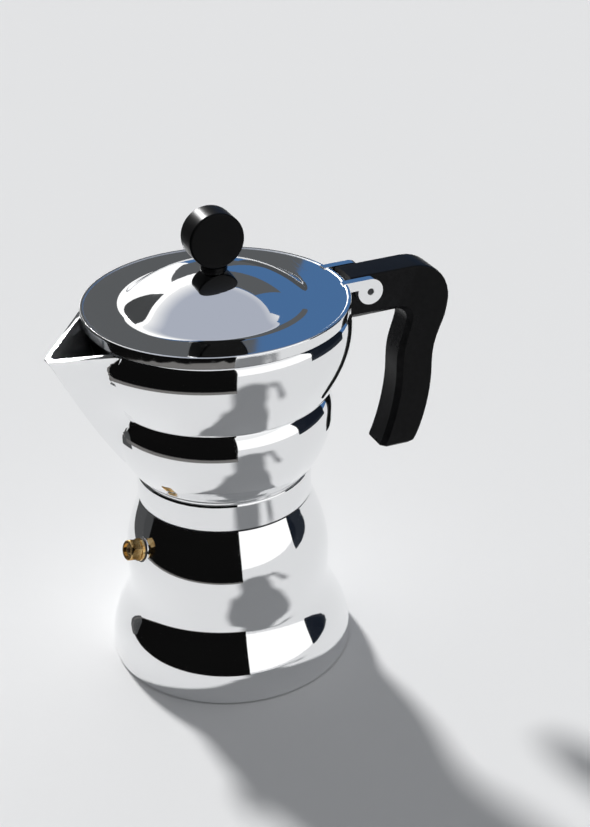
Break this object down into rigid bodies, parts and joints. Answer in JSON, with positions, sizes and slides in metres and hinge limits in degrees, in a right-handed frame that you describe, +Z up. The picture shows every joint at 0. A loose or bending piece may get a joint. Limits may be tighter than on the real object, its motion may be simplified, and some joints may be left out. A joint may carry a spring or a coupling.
{
  "type": "moka pot",
  "caption": "Stovetop moka pot: bell-footed aluminium boiler, two-tier collector with a prow-shaped spout, hinged domed lid, drum knob and hanging black handle.",
  "frame": {"origin": "centre of the boiler's base, on the surface that the pot stands on", "axes": "+Z up along the pot's axis, +X towards the handle, -X towards the spout"},
  "size_m": [0.1598, 0.1012, 0.1844],
  "materials": {
    "cast_aluminium": "mirror polished casting",
    "sheet_aluminium": "satin pressed sheet",
    "black_plastic": "satin moulded, heat resistant",
    "brass": "turned brass",
    "steel": "plain steel",
    "seal_rubber": "matt white food rubber",
    "washer_fibre": "matt dark washer"
  },
  "bodies": {
    "boiler": {"boiler": "cast_aluminium", "valve_body": "brass", "valve_washer": "washer_fibre", "valve_nut": "brass", "valve_retainer": "brass", "valve_spring": "steel"},
    "valve_stem": {"valve_stem": "brass"},
    "funnel": {"funnel": "sheet_aluminium", "funnel_sieve": "sheet_aluminium"},
    "gasket": {"gasket": "seal_rubber"},
    "filter_plate": {"filter_plate": "sheet_aluminium"},
    "collector": {"collector": "cast_aluminium", "column": "cast_aluminium", "column_cap": "sheet_aluminium", "handle": "black_plastic", "handle_screw": "steel", "handle_insert": "steel", "hinge_pin": "steel"},
    "lid": {"lid": "cast_aluminium", "knob_foot": "black_plastic", "knob": "black_plastic", "knob_washer": "steel", "knob_screw": "steel"}
  },
  "joints": [
    {"name": "lift_off", "type": "slide", "parent": "boiler", "child": "gasket", "axis": [0, 0, 1], "range_m": [0, 0.2]},
    {"name": "thread_rise", "type": "slide", "parent": "gasket", "child": "filter_plate", "axis": [0, 0, 1], "range_m": [0, 0.0046]},
    {"name": "unscrew_turn", "type": "hinge", "parent": "filter_plate", "child": "collector", "pos_m": [0, 0, 0.0752], "axis": [0, 0, 1], "range_deg": [0, 540]},
    {"name": "lid_hinge", "type": "hinge", "parent": "collector", "child": "lid", "pos_m": [0.0584, 0, 0.1448], "axis": [0, 1, 0], "range_deg": [0, 105]},
    {"name": "funnel_lift", "type": "slide", "parent": "boiler", "child": "funnel", "axis": [0, 0, 1], "range_m": [0, 0.0905]},
    {"name": "valve_lift", "type": "slide", "parent": "boiler", "child": "valve_stem", "axis": [-0.9467, -0.1669, 0.2756], "range_m": [0, 0.0014], "stiffness_N_per_m": 1000, "springref_m": -0.002, "deforming": ["valve_spring"]}
  ],
  "couplings": [
    {"joint": "thread_rise", "follows": "unscrew_turn", "m_per_rad": 0.00047746},
    {"joint": "funnel_lift", "follows": "lift_off", "ratio": 0.45}
  ]
}
